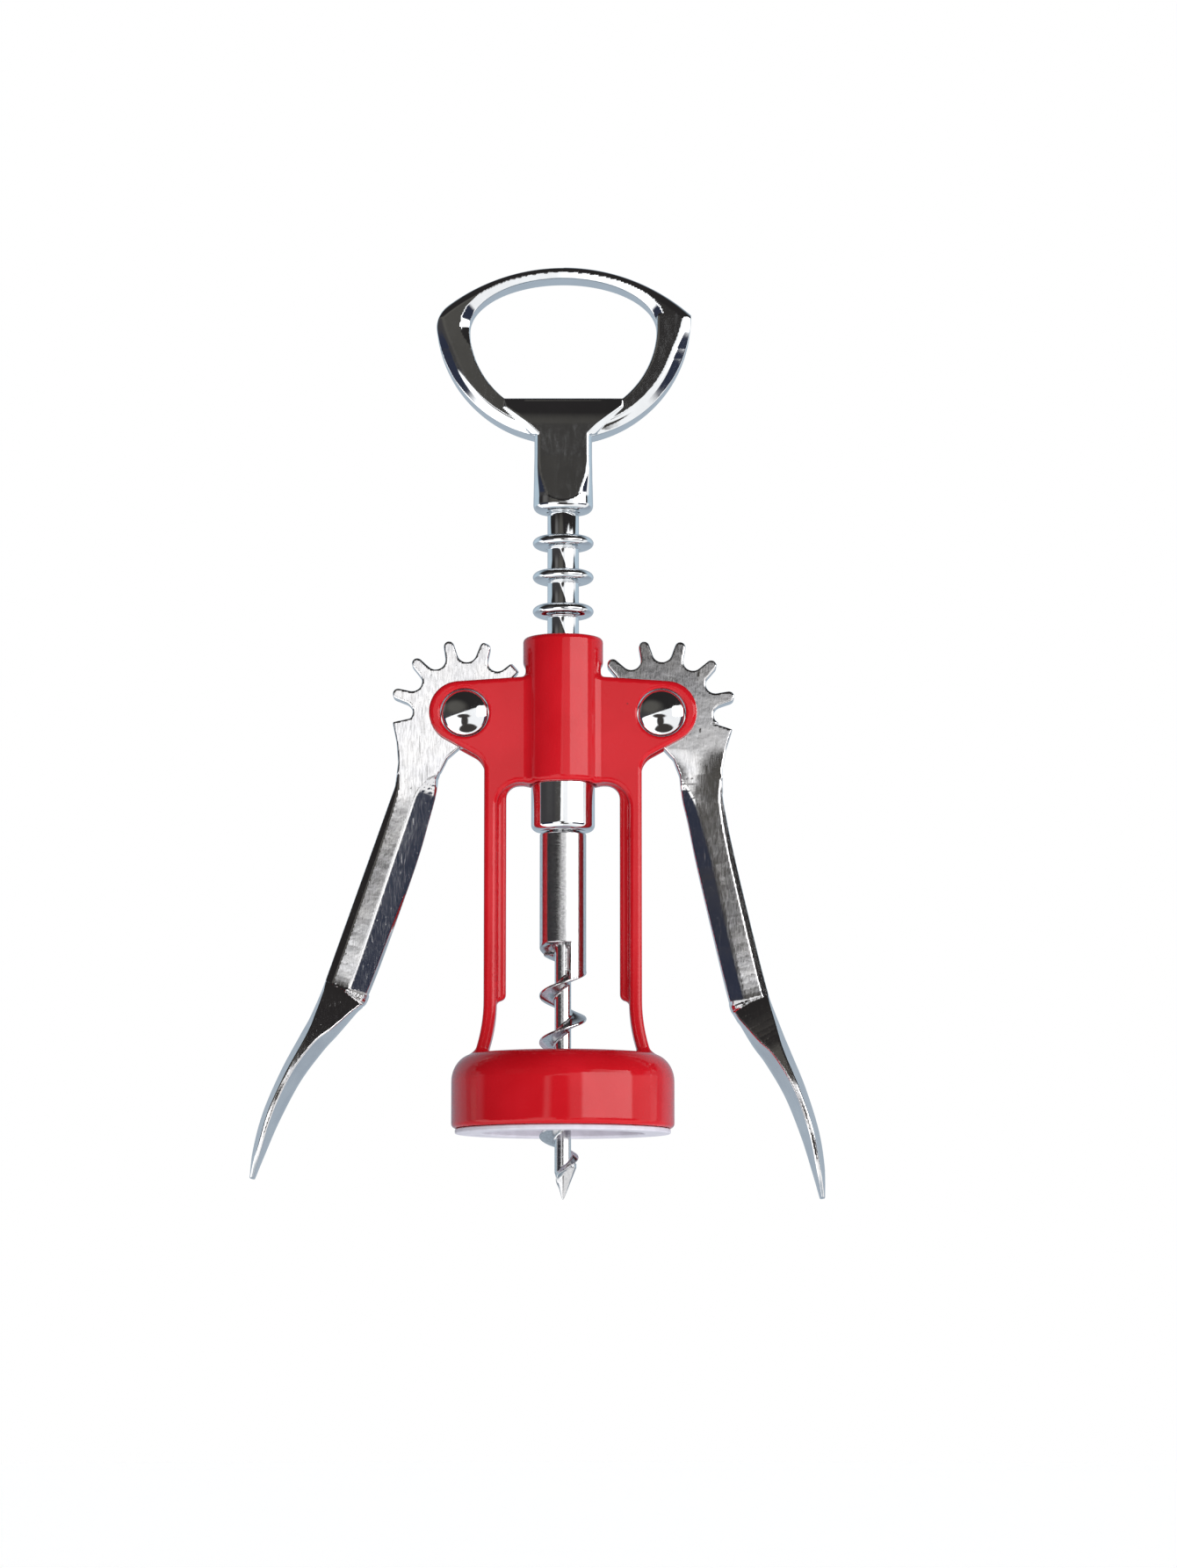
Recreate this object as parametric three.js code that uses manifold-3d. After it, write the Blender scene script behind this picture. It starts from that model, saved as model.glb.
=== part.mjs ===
// Lever corkscrew, the kind with two geared arms, a bottle-opener handle and an enamelled bell frame.
// Millimetres. The origin is on the screw's axis, in the plane where the bottle's lip meets the bell's seat.
// +Z points up along the screw, +X to the right-hand arm, and the pivot pins run along Y.
import * as THREE from 'three';
import { mergeVertices } from 'three/addons/utils/BufferGeometryUtils.js';
import Module from 'manifold-3d';

const wasm = await Module();
wasm.setup();

// Rack and gears: the stem's rings are the rack's teeth, spaced to the gears' pitch circle.
const TEETH_PER_TURN = 12;
const RACK_PITCH = 6.6;
const PIVOT = { x: 18.65, z: 69.5 };
const GEAR = { tip: 14.25, root: 9.9, halfThick: 1.95, bore: 4.7 };
const TOOTH = { count: 7, tipRound: 1.02, valleyRound: 1.85 };
const HUB_RADIUS = 6.4;

// Each arm as it was cast: how far its teeth are turned past the pivot's level, in degrees, how far
// the arm leans in from the wide one, and how wide it is beside the nominal width.
const ARMS = {
  left: { side: -1, phase: 13.2, leanIn: 0, width: 1 },
  right: { side: 1, phase: 15.8, leanIn: 6.1, width: 0.83 },
};

// Frame casting.
const BODY_HALF = 4.1;
const SLOT_HALF = 2.25;
const EDGE = 0.6;
const TUBE = { radius: 7.6, bore: 6.35, bottom: 56.2, top: 84.2 };
const EAR = { x: 19.6, z: 69.75, radius: 5.8, topAngle: 86, lowAngle: -61.2, shoulder: 76.9 };
const EAR_FILLET = { radius: 3.6, x: 14.9 };
const LEG = { outer: 14.9, inner: 12.5, flareTop: 15, flareOut: 1.7, foot: 4 };
const ARCH_FILLET = 4.5;
const RIB = { inner: 10.75, half: 1.3, bottom: 15, endRound: 1.2, archRound: 2.8 };
const BELL = { radius: 21, inner: 18, top: 5, ceiling: 3.4, bottom: -9, shoulder: 4.5, hole: 12.6 };
const PIN_HOLE = 4.7;

// Bell liner, whose flange carries the seat plane at z = 0 and whose lip covers the bell's rim.
const LINER = { outer: 17.7, inner: 15.25, flange: 13, top: 3.1, lip: 20.2, lipTop: -9.3, bottom: -10 };

// Pivot pins.
const PIN = { radius: 4.4, straight: 3.3, dome: 0.75 };

// Spindle: opener handle, rack stem, guide collar and worm, all on the screw's axis.
const STEM = { radius: 3, bottom: 57.3, flange: 4.5, flangeTop: 58.8, top: 119.9 };
const STEM_BORE = { radius: 2, top: 67 };
const RING = { radius: 5.8, half: 1.25, first: 62.95, count: 7 };
const COLLAR = { radius: 6.03, bore: 3.35, bottom: 47.1, top: 57, round: 1.2 };
const WORM = { shank: 4.4, shoulder: 46.8, journal: 3, journalTop: 56.4, tang: 1.7, top: 66.4 };
const THREAD = { radius: 4.45, core: 1.5, pitch: 8.8, top: 26, tip: -22.7, leftCrest: 16.03 };
const THREAD_TAPER = { from: -12, pointFrom: -17.2, power: 2.6 };
const WORM_PIN = { radius: 0.8, hole: 1.1, z: 60, half: 2.6 };
const HANDLE_PIN = { radius: 1.1, hole: 1.4, z: 115, half: 5.2 };

// Opener handle: a round lower bow and a flatter crown, around a loop with a straight lip.
const BOW = { centre: 146.6, radius: 24.5, crownTop: 155.9, halfThick: 3.5, bevel: 0.8 };
const LOOP = { centre: 144, radius: 17.9, crownTop: 153.5, lip: 130.1 };
const NECK = { half: 5.5, top: 125.2, bottom: 108.3, round: 2, halfThick: 4.2, bevel: 1 };
const SOCKET = { radius: 3.35, top: 120.4 };

const ROUND_SEGMENTS = 44;
const FINE_SEGMENTS = 24;
const DEGREE = Math.PI / 180;

const enamel = new THREE.MeshStandardMaterial({ color: 0xc3222d, roughness: 0.22, metalness: 0.1 });
const chrome = new THREE.MeshStandardMaterial({ color: 0xdfe3e8, roughness: 0.08, metalness: 1 });
const nickel = new THREE.MeshStandardMaterial({ color: 0xcfd2d4, roughness: 0.24, metalness: 1 });
const steel = new THREE.MeshStandardMaterial({ color: 0xb4b6b8, roughness: 0.3, metalness: 1 });
const plastic = new THREE.MeshStandardMaterial({ color: 0xcfcbd6, roughness: 0.5, metalness: 0 });

// A closed three.js geometry as a manifold solid.
function toSolid(geometry) {
  const bare = geometry.clone();
  bare.deleteAttribute('normal');
  bare.deleteAttribute('uv');
  const welded = mergeVertices(bare, 1e-4);
  const vertProperties = new Float32Array(welded.attributes.position.array);
  const triVerts = new Uint32Array(welded.index.array);
  return new wasm.Manifold(new wasm.Mesh({ numProp: 3, vertProperties, triVerts }));
}

function toGeometry(solid) {
  const mesh = solid.getMesh();
  const geometry = new THREE.BufferGeometry();
  geometry.setAttribute('position', new THREE.BufferAttribute(new Float32Array(mesh.vertProperties), 3));
  geometry.setIndex(new THREE.BufferAttribute(new Uint32Array(mesh.triVerts), 1));
  return geometry;
}

function named(name, solid, material) {
  const geometry = toGeometry(solid);
  geometry.computeVertexNormals();
  const mesh = new THREE.Mesh(geometry, material);
  mesh.name = name;
  return mesh;
}

// Points along a circular arc, angles in degrees, both ends included.
function arc(cx, cz, radius, from, to, steps) {
  const points = [];
  for (let i = 0; i <= steps; i += 1) {
    const angle = (from + ((to - from) * i) / steps) * DEGREE;
    points.push([cx + radius * Math.cos(angle), cz + radius * Math.sin(angle)]);
  }
  return points;
}

function mirrored(points) {
  return points.map(([x, z]) => [-x, z]).reverse();
}

function shapeOf(points) {
  return new THREE.Shape(points.map(([x, z]) => new THREE.Vector2(x, z)));
}

// A front-view outline (x, z) thickened evenly both ways along Y, with bevelled edges if asked.
function slab(points, half, bevel = 0, holes = []) {
  const shape = shapeOf(points);
  shape.holes = holes.map(shapeOf);
  const geometry = new THREE.ExtrudeGeometry(shape, {
    depth: 2 * (half - bevel),
    bevelEnabled: bevel > 0,
    bevelThickness: bevel,
    bevelSize: bevel,
    bevelOffset: -bevel,
    bevelSegments: 2,
  });
  geometry.rotateX(Math.PI / 2);
  geometry.translate(0, half - bevel, 0);
  return toSolid(geometry);
}

// A solid of revolution about Z from a profile of [radius, z] points, listed from bottom to top outside.
function turned(profile, segments = FINE_SEGMENTS) {
  const geometry = new THREE.LatheGeometry(profile.map(([r, z]) => new THREE.Vector2(r, z)), segments);
  geometry.rotateX(Math.PI / 2);
  return toSolid(geometry);
}

// A plain round rod along one axis, for pins, bores and cross holes.
function rod(axis, radius, from, to, at, segments = FINE_SEGMENTS) {
  const geometry = new THREE.CylinderGeometry(radius, radius, to - from, segments);
  geometry.translate(0, (from + to) / 2, 0);
  if (axis === 'x') geometry.rotateZ(-Math.PI / 2);
  if (axis === 'z') geometry.rotateX(Math.PI / 2);
  geometry.translate(...at);
  return toSolid(geometry);
}

// Outline of one side of the frame's flat body: shoulder, ear, waist, leg and half the arch.
function bodySide() {
  const low = EAR.lowAngle * DEGREE;
  const earLow = [EAR.x + EAR.radius * Math.cos(low), EAR.z + EAR.radius * Math.sin(low)];
  const slope = Math.tan(low + Math.PI / 2);
  const cornerZ = earLow[1] + slope * (EAR_FILLET.x - earLow[0]);
  const turn = -EAR.lowAngle;
  const tangent = EAR_FILLET.radius * Math.tan((turn * DEGREE) / 2);
  const filletCentre = [EAR_FILLET.x + EAR_FILLET.radius, cornerZ - tangent];
  const flareDrop = LEG.flareTop - BELL.top;
  const flareTurn = 2 * Math.atan2(LEG.flareOut, flareDrop);
  const flareRadius = flareDrop / Math.sin(flareTurn);
  const flare = (x) => arc(x + flareRadius, LEG.flareTop, flareRadius, 180, 180 + flareTurn / DEGREE, 4);
  return [
    [0, EAR.shoulder],
    ...arc(EAR.x, EAR.z, EAR.radius, EAR.topAngle, EAR.lowAngle, 14),
    ...arc(...filletCentre, EAR_FILLET.radius, 180 - turn, 180, 5),
    ...flare(LEG.outer),
    [LEG.outer + LEG.flareOut, LEG.foot],
    [LEG.inner + LEG.flareOut, LEG.foot],
    ...flare(LEG.inner).reverse(),
    ...arc(LEG.inner - ARCH_FILLET, TUBE.bottom - ARCH_FILLET, ARCH_FILLET, 0, 90, 5),
    [0, TUBE.bottom],
  ];
}

// The stiffening rib down the inside of each leg, with a rounded foot and a small fillet under the arch.
function ribs() {
  const inner = RIB.inner;
  const deep = LEG.inner + (LEG.outer - LEG.inner) / 2;
  const archRound = RIB.archRound;
  const side = [
    [0, TUBE.bottom + 1],
    [deep, TUBE.bottom + 1],
    [deep, RIB.bottom],
    ...arc(inner + RIB.endRound, RIB.bottom + RIB.endRound, RIB.endRound, 270, 180, 3),
    ...arc(inner - archRound, TUBE.bottom - archRound, archRound, 0, 90, 4),
    [0, TUBE.bottom],
  ];
  return slab([...side, ...mirrored(side)], RIB.half);
}

function bell() {
  const { radius, inner, top, ceiling, bottom, shoulder, hole } = BELL;
  return turned(
    [
      [inner, bottom],
      [radius - EDGE, bottom],
      [radius, bottom + EDGE],
      ...arc(radius - shoulder, top - shoulder, shoulder, 0, 90, 6),
      [hole + EDGE, top],
      [hole, top - EDGE],
      [hole, ceiling],
      [inner, ceiling],
      [inner, bottom],
    ],
    ROUND_SEGMENTS,
  );
}

// One enamelled casting: guide tube, paired ears, legs and bell, slotted for the gears.
function frameCasting() {
  const side = bodySide();
  const { radius, bore, bottom, top } = TUBE;
  const tube = turned(
    [
      [0, bottom],
      [radius, bottom],
      [radius, top - EDGE],
      [radius - EDGE, top],
      [0, top],
    ],
    ROUND_SEGMENTS,
  );
  let casting = slab([...side, ...mirrored(side)], BODY_HALF, EDGE).add(ribs()).add(tube).add(bell());
  casting = casting.subtract(rod('z', bore, bottom - 1, top + 1, [0, 0, 0], ROUND_SEGMENTS));
  const clearance = GEAR.tip + 0.35;
  for (const x of [-PIVOT.x, PIVOT.x]) {
    casting = casting.subtract(rod('y', clearance, -SLOT_HALF, SLOT_HALF, [x, 0, PIVOT.z], ROUND_SEGMENTS));
    casting = casting.subtract(rod('y', PIN_HOLE, -BODY_HALF - 1, BODY_HALF + 1, [x, 0, PIVOT.z]));
  }
  return named('frame_casting', casting, enamel);
}

// Plastic ring pushed up into the bell, with the inward flange that rests on the bottle's lip.
function bellLiner() {
  const { outer, inner, flange, top, lip, lipTop, bottom } = LINER;
  const edge = (lipTop - bottom) / 2;
  const profile = [
    [inner, bottom],
    [lip - edge, bottom],
    [lip, bottom + edge],
    [lip - edge, lipTop],
    [outer, lipTop],
    [outer, top],
    [flange, top],
    [flange, 0],
    [inner, 0],
    [inner, bottom],
  ];
  return named('bell_liner', turned(profile, ROUND_SEGMENTS), plastic);
}

// Round pin with domed ends, driven through both ears and the gear between them.
function pivotPin(name, side) {
  const { radius, straight, dome } = PIN;
  const cap = (sign) => [
    [radius, sign * straight],
    [radius * 0.8, sign * (straight + dome * 0.5)],
    [radius * 0.45, sign * (straight + dome * 0.88)],
    [0, sign * (straight + dome)],
  ];
  const pin = turned([...cap(-1).reverse(), ...cap(1)]).rotate([90, 0, 0]);
  return named(name, pin.translate([side * PIVOT.x, 0, PIVOT.z]), chrome);
}

// A point at a distance from the pivot, angle in degrees.
function polar(radius, angle) {
  return [radius * Math.cos(angle * DEGREE), radius * Math.sin(angle * DEGREE)];
}

// Outline of the toothed sector: round tips and round valleys joined by their common tangents.
function sectorOutline(first) {
  const step = 360 / TEETH_PER_TURN;
  const tipCentre = GEAR.tip - TOOTH.tipRound;
  const valleyCentre = GEAR.root + TOOTH.valleyRound;
  const [across, up] = polar(valleyCentre, step / 2);
  const gap = Math.hypot(across - tipCentre, up);
  const flank = Math.atan2(up, across - tipCentre) + Math.asin((TOOTH.tipRound + TOOTH.valleyRound) / gap);
  const tipTurn = flank / DEGREE - 90;
  const valleyTurn = tipTurn - step / 2;
  const points = [[0, 0], polar(GEAR.root - 1, first - step)];
  for (let i = 0; i < TOOTH.count; i += 1) {
    const angle = first + i * step;
    const middle = angle + step / 2;
    points.push(...arc(...polar(tipCentre, angle), TOOTH.tipRound, angle - tipTurn, angle + tipTurn, 5));
    const centre = polar(valleyCentre, middle);
    const start = middle + 180 + valleyTurn;
    points.push(...arc(...centre, TOOTH.valleyRound, start, start - 2 * valleyTurn, 6));
  }
  points.push(polar(GEAR.root - 1, first + step * TOOTH.count));
  return points;
}

// The toothed sector around the pivot. Angles count from the side that faces the rack, upwards and over.
function gearSector(phase) {
  const first = phase - 360 / TEETH_PER_TURN;
  const hub = rod('y', HUB_RADIUS, -GEAR.halfThick, GEAR.halfThick, [0, 0, 0]);
  return slab(sectorOutline(first), GEAR.halfThick).add(hub);
}

// The flat web that joins the toothed sector to the arm, drawn for the left-hand arm.
function armWeb() {
  const points = [
    [-10.5, -0.85],
    [-13.7, -1.6],
    [-12.9, -5.5],
    [-12.6, -9.3],
    [-13.2, -14],
    [-5.2, -14],
    [-4.7, -11.4],
    [-3.2, -8.4],
    [-0.9, -6.4],
    [0, 0],
  ];
  return slab(points.reverse(), GEAR.halfThick);
}

// Cross-sections of the arm from the web to the thumb blade, drawn for the left-hand arm about its pivot.
// at: centre (x, z); lean: the arm's direction there, in degrees outwards from straight down; half: half
// width; slim: how much of the arm's own width setting applies there; deep: half depth along Y at the
// front strip; edge: half depth at the edges; strip: where the front strip lies between the outer edge
// (-1) and the inner edge (1).
const ARM_SECTIONS = [
  { at: [-8.75, -11], lean: 10, half: 3.8, slim: 0, deep: 1.9, edge: 1.85, strip: [-0.95, 0.95] },
  { at: [-9.25, -14.4], lean: 14, half: 3.95, slim: 0.2, deep: 1.95, edge: 1.75, strip: [-0.9, 0.7] },
  { at: [-10.65, -19], lean: 18, half: 4.15, slim: 0.7, deep: 2.4, edge: 1.2, strip: [-0.72, 0.1] },
  { at: [-13.35, -27.5], lean: 19.3, half: 4.4, slim: 1, deep: 3, edge: 1, strip: [-0.68, 0] },
  { at: [-19.35, -44.7], lean: 19.3, half: 4.4, slim: 1, deep: 3.4, edge: 1, strip: [-0.68, 0] },
  { at: [-22.1, -52.2], lean: 20.5, half: 4.25, slim: 0.8, deep: 3.6, edge: 1.2, strip: [-0.72, 0] },
  { at: [-22.4, -52.9], lean: 22, half: 4.2, slim: 0.7, deep: 3.7, edge: 3.4, strip: [-0.96, 0.96] },
  { at: [-26, -58.6], lean: 35, half: 3.15, slim: 0, deep: 5.6, edge: 3.2, strip: [-0.4, 0.4] },
  { at: [-28.6, -62.3], lean: 36, half: 2.65, slim: 0, deep: 6.7, edge: 3.1, strip: [-0.06, 0.06] },
  { at: [-32.5, -68.5], lean: 31, half: 2.15, slim: 0, deep: 7.4, edge: 3.4, strip: [-0.06, 0.06] },
  { at: [-36.1, -76.1], lean: 22, half: 1.8, slim: 0, deep: 7.2, edge: 3.4, strip: [-0.06, 0.06] },
  { at: [-38.4, -82.9], lean: 15, half: 1.25, slim: 0, deep: 5.4, edge: 2.6, strip: [-0.08, 0.08] },
  { at: [-39.65, -87.9], lean: 12, half: 0.55, slim: 0, deep: 2.4, edge: 1.1, strip: [-0.15, 0.15] },
];

// The eight corners of one arm section, counter-clockwise as seen looking down the arm.
function sectionCorners(section, width) {
  const { at, lean, half, slim, deep, edge, strip } = section;
  const reach = half * (1 - (1 - width) * slim);
  const across = new THREE.Vector3(Math.cos(lean * DEGREE), 0, -Math.sin(lean * DEGREE));
  const corner = (u, y) => {
    const point = across.clone().multiplyScalar(u * reach);
    return point.add(new THREE.Vector3(at[0], y, at[1]));
  };
  return [
    corner(-1, -edge),
    corner(strip[0], -deep),
    corner(strip[1], -deep),
    corner(1, -edge),
    corner(1, edge),
    corner(strip[1], deep),
    corner(strip[0], deep),
    corner(-1, edge),
  ];
}

// A skin over a row of cross-sections with equal corner counts, closed by a fan at each end.
function loft(sections) {
  const corners = sections[0].length;
  const positions = sections.flat().flatMap((point) => point.toArray());
  const index = [];
  for (let row = 0; row + 1 < sections.length; row += 1) {
    for (let i = 0; i < corners; i += 1) {
      const a = row * corners + i;
      const b = row * corners + ((i + 1) % corners);
      index.push(a, a + corners, b, b, a + corners, b + corners);
    }
  }
  const end = (sections.length - 1) * corners;
  for (let i = 1; i + 1 < corners; i += 1) {
    index.push(0, i, i + 1);
    index.push(end, end + i + 1, end + i);
  }
  const geometry = new THREE.BufferGeometry();
  geometry.setAttribute('position', new THREE.Float32BufferAttribute(positions, 3));
  geometry.setIndex(index);
  return toSolid(geometry);
}

// One geared arm. It is drawn for the left-hand side and mirrored for the right.
function lever(name, { side, phase, leanIn, width }) {
  const blade = loft(ARM_SECTIONS.map((section) => sectionCorners(section, width)));
  const arm = armWeb().add(blade).rotate([0, -leanIn, 0]);
  let solid = gearSector(phase).add(arm);
  solid = solid.subtract(rod('y', GEAR.bore, -GEAR.halfThick - 1, GEAR.halfThick + 1, [0, 0, 0]));
  if (side > 0) solid = solid.mirror([1, 0, 0]);
  return named(name, solid.translate([side * PIVOT.x, 0, PIVOT.z]), nickel);
}

// Half of an outline made of a round lower bow and a crown arc that meets it at its widest, bottom to top.
function bowHalf(centre, radius, crownTop, fromAngle) {
  const rise = crownTop - centre;
  const crownRadius = (radius * radius + rise * rise) / (2 * rise);
  const crownAngle = Math.atan2(crownRadius - rise, radius) / DEGREE;
  return [
    ...arc(0, centre, radius, fromAngle, 0, 12),
    ...arc(0, crownTop - crownRadius, crownRadius, crownAngle, 90, 9).slice(1, -1),
  ];
}

// The bottle-opener handle with the neck whose socket takes the stem.
function openerHandle() {
  const outer = bowHalf(BOW.centre, BOW.radius, BOW.crownTop, -90);
  const lipAngle = Math.asin((LOOP.lip - LOOP.centre) / LOOP.radius) / DEGREE;
  const inner = bowHalf(LOOP.centre, LOOP.radius, LOOP.crownTop, lipAngle);
  const outline = [...outer, [0, BOW.crownTop], ...mirrored(outer.slice(1))];
  const opening = [...inner, [0, LOOP.crownTop], ...mirrored(inner)];
  const { half, top, bottom, round, halfThick, bevel } = NECK;
  const neckSide = [[half, top], ...arc(half - round, bottom + round, round, 0, -90, 4)];
  const neck = slab([...neckSide, ...mirrored(neckSide)], halfThick, bevel);
  const handle = slab(outline, BOW.halfThick, BOW.bevel, [opening])
    .add(neck)
    .subtract(rod('z', SOCKET.radius, bottom - 1, SOCKET.top, [0, 0, 0]))
    .subtract(rod('x', HANDLE_PIN.hole, -half - 1, half + 1, [0, 0, HANDLE_PIN.z]));
  return named('opener_handle', handle, chrome);
}

// The stem whose rings the gears climb, with a blind bore below for the worm's tang.
function rackStem() {
  const { radius, bottom, flange, flangeTop, top } = STEM;
  const rings = [];
  for (let i = 0; i < RING.count; i += 1) {
    const z = RING.first + i * RACK_PITCH;
    rings.push([radius, z - RING.half], ...arc(RING.radius - RING.half, z, RING.half, -80, 80, 4));
    rings.push([radius, z + RING.half]);
  }
  const profile = [
    [0, STEM_BORE.top],
    [STEM_BORE.radius, STEM_BORE.top],
    [STEM_BORE.radius, bottom],
    [flange, bottom],
    [flange, flangeTop],
    [radius, flangeTop],
    ...rings,
    [radius, top],
    [0, top],
  ];
  const stem = turned(profile)
    .subtract(rod('x', WORM_PIN.hole, -flange, flange, [0, 0, WORM_PIN.z], 16))
    .subtract(rod('x', HANDLE_PIN.hole, -flange, flange, [0, 0, HANDLE_PIN.z]));
  return named('rack_stem', stem, chrome);
}

// Ring that centres the spindle in the tube. It turns freely between the stem's flange and the worm.
function guideCollar() {
  const { radius, bore, bottom, top, round } = COLLAR;
  const profile = [
    [bore, bottom],
    [radius - round, bottom],
    ...arc(radius - round, bottom + round, round, -60, 0, 3),
    [radius, top - 0.4],
    [radius - 0.4, top],
    [bore, top],
    [bore, bottom],
  ];
  return named('guide_collar', turned(profile), chrome);
}

// One slice of the auger: a round core with a single crest, [radius, angle from the crest in degrees].
function augerSlice(reach, core) {
  const crest = [
    [reach, -14],
    [reach, 14],
    [(reach + core) / 2, 27],
    [core, 48],
  ];
  const back = [90, 135, 180, 225, 270].map((angle) => [core, angle]);
  return [...crest, ...back, [core, -48], [(reach + core) / 2, -27]];
}

// The cutting screw below the shank: a crest that winds around a core and fades to a point.
function auger() {
  const slices = [];
  const steps = 84;
  for (let i = 0; i <= steps; i += 1) {
    const z = THREAD.top + ((THREAD.tip + 0.4 - THREAD.top) * i) / steps;
    const rise = (z - THREAD.tip) / (THREAD_TAPER.from - THREAD.tip);
    const fade = THREE.MathUtils.clamp(rise, 0, 1) ** THREAD_TAPER.power;
    const point = Math.min(1, (z - THREAD.tip) / (THREAD_TAPER.pointFrom - THREAD.tip));
    const core = THREAD.core * Math.max(point, 0.08);
    const reach = core + (THREAD.radius - THREAD.core) * fade;
    const crestAngle = 180 + ((z - THREAD.leftCrest) / THREAD.pitch) * 360;
    slices.push(
      augerSlice(reach, core).map(([r, angle]) => {
        const turn = (crestAngle + angle) * DEGREE;
        return new THREE.Vector3(r * Math.cos(turn), r * Math.sin(turn), z);
      }),
    );
  }
  return loft(slices);
}

// The worm: pointed auger, plain shank, a journal for the collar and a tang pinned into the stem.
function worm() {
  const { shank, shoulder, journal, journalTop, tang, top } = WORM;
  const shaft = turned([
    [0, THREAD.top - 1.5],
    [shank - 0.6, THREAD.top - 1.5],
    [shank, THREAD.top - 0.9],
    [shank, shoulder],
    [journal, shoulder],
    [journal, journalTop],
    [tang, journalTop],
    [tang, top],
    [0, top],
  ]);
  const solid = shaft.add(auger()).subtract(rod('x', WORM_PIN.hole, -shank, shank, [0, 0, WORM_PIN.z], 16));
  return named('worm', solid, steel);
}

function crossPin(name, { radius, half, z }) {
  return named(name, rod('x', radius, -half, half, [0, 0, z], 16), steel);
}

const frame = new THREE.Group();
frame.add(
  frameCasting(),
  bellLiner(),
  pivotPin('left_pivot_pin', ARMS.left.side),
  pivotPin('right_pivot_pin', ARMS.right.side),
);

const spindle = new THREE.Group();
spindle.add(
  openerHandle(),
  crossPin('handle_pin', HANDLE_PIN),
  rackStem(),
  crossPin('worm_pin', WORM_PIN),
  worm(),
);

const corkscrew = new THREE.Group();
corkscrew.add(frame, spindle, guideCollar());
corkscrew.add(lever('left_lever', ARMS.left), lever('right_lever', ARMS.right));

export default corkscrew;
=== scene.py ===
"""The looks of a lever corkscrew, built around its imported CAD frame.

Shapes are written in millimetres in the row frame: the origin on the screw's axis at the bottle seat,
+Z up the screw, +X to the right-hand arm, Y along the pivots. They become metres when a mesh is made.
"""
import math

import bpy
import numpy as np
from mathutils import Matrix, Vector


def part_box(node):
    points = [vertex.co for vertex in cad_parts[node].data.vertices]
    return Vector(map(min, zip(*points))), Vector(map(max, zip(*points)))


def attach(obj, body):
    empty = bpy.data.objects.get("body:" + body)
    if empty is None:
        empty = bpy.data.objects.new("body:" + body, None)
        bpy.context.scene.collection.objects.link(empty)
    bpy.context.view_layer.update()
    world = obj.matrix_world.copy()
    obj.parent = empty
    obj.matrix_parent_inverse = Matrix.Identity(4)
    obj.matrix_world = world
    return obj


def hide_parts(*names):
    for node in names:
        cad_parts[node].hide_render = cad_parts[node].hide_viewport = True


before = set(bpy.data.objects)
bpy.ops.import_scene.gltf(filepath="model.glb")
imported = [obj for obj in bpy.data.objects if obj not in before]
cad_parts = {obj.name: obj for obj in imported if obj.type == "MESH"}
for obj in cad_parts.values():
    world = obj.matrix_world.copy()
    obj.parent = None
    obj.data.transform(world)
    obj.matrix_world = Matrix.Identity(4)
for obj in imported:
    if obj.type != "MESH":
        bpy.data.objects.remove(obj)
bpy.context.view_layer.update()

MM = 0.001

# Driving dimensions, the same as the CAD model's.
PIVOT_X, PIVOT_Z = 18.65, 69.5
TUBE_RADIUS, TUBE_BORE, TUBE_BOTTOM, TUBE_TOP = 7.6, 6.35, 56.2, 84.2
BODY_HALF, SLOT_HALF, SLOT_RADIUS = 4.1, 2.25, 14.6
EAR_X, EAR_Z, EAR_RADIUS, EAR_SHOULDER = 19.6, 69.75, 5.8, 76.9
EAR_TOP_ANGLE, EAR_LOW_ANGLE = 86, -61.2
LEG_OUTER, LEG_INNER, LEG_FLARE_TOP, LEG_FLARE, LEG_FOOT = 14.9, 12.5, 15, 1.7, 4
RIB_INNER, RIB_HALF, RIB_BOTTOM = 10.75, 1.3, 15
BELL_RADIUS, BELL_INNER, BELL_HOLE = 21, 18, 12.6
BELL_TOP, BELL_CEILING, BELL_BOTTOM = 5, 3.4, -9
GEAR_TIP, GEAR_ROOT, TEETH_PER_TURN, TEETH = 14.25, 9.9, 12, 7
HANDLE_PIN_Z = 115

# The radius of the holes in the ears, a little tighter than the CAD model's.
PIN_HOLE = 4.62


# Signed distances. Each takes coordinate arrays that broadcast, and is negative inside the solid.

def rounded_union(a, b, radius):
    """Two solids joined with a concave fillet."""
    near = np.hypot(np.maximum(radius - a, 0), np.maximum(radius - b, 0))
    return np.maximum(radius, np.minimum(a, b)) - near


def rounded_overlap(a, b, radius):
    """What two solids share, with its edge rounded over."""
    near = np.hypot(np.maximum(radius + a, 0), np.maximum(radius + b, 0))
    return np.minimum(-radius, np.maximum(a, b)) + near


def rounded_cut(a, b, radius):
    """The first solid without the second, with the rim of the cut rounded over."""
    return rounded_overlap(a, -b, radius)


def polygon(points):
    """A flat outline as a distance function of two coordinates."""
    corners = np.array(points, float)

    def distance(u, v):
        shape = np.broadcast(u, v).shape
        nearest = np.full(shape, np.inf)
        inside = np.zeros(shape, bool)
        for (au, av), (bu, bv) in zip(corners, np.roll(corners, -1, 0)):
            eu, ev = bu - au, bv - av
            size = eu * eu + ev * ev
            if size < 1e-12:
                continue
            along = np.clip(((u - au) * eu + (v - av) * ev) / size, 0, 1)
            nearest = np.minimum(nearest, (u - au - along * eu) ** 2 + (v - av - along * ev) ** 2)
            if ev:
                crosses = ((av <= v) != (bv <= v)) & (u < au + (v - av) * eu / ev)
                inside = inside ^ crosses
        return np.sqrt(nearest) * np.where(inside, -1, 1)

    return distance


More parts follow.
